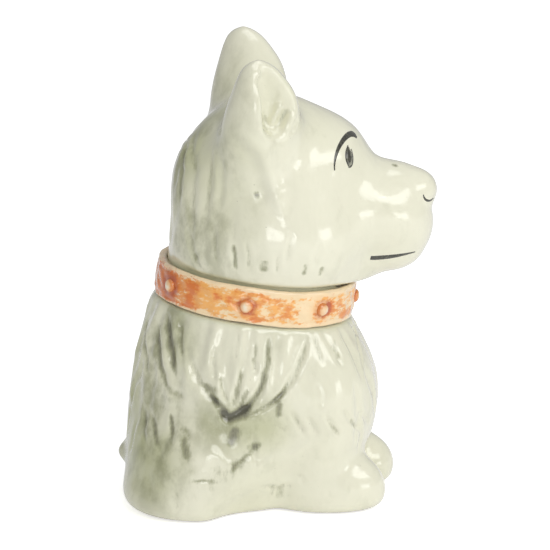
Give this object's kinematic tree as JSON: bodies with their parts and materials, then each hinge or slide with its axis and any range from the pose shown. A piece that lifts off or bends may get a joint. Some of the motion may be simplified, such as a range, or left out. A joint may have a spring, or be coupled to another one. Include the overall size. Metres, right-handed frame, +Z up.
{
  "type": "figural coin bank",
  "caption": "Hollow glazed ceramic coin bank shaped as a seated terrier in a studded collar, with a coin slot in its back and a rubber stopper in its foot.",
  "frame": {"origin": "on the flat foot's plane, under the middle of the whole outline", "axes": "+Z up, +X the way the figure's body faces, +Y to the figure's left"},
  "size_m": [0.1371, 0.0948, 0.2],
  "materials": {
    "cream_glaze": "glossy clear glaze over a cream body with grey-green washes",
    "orange_glaze": "glossy, mottled orange",
    "white_glaze": "glossy",
    "stopper_rubber": "matt"
  },
  "bodies": {
    "root": {"body_casting": "cream_glaze", "head_casting": "cream_glaze", "ear_left": "cream_glaze", "ear_right": "cream_glaze", "collar_band": "orange_glaze", "collar_stud_1": "white_glaze", "collar_stud_2": "white_glaze", "collar_stud_3": "white_glaze", "collar_stud_4": "white_glaze", "collar_stud_5": "white_glaze", "collar_stud_6": "white_glaze", "collar_stud_7": "white_glaze"},
    "stopper_body": {"stopper": "stopper_rubber"}
  },
  "joints": [
    {"name": "stopper_pull", "type": "slide", "parent": "root", "child": "stopper_body", "axis": [0, 0, -1], "range_m": [0, 0.03]}
  ]
}
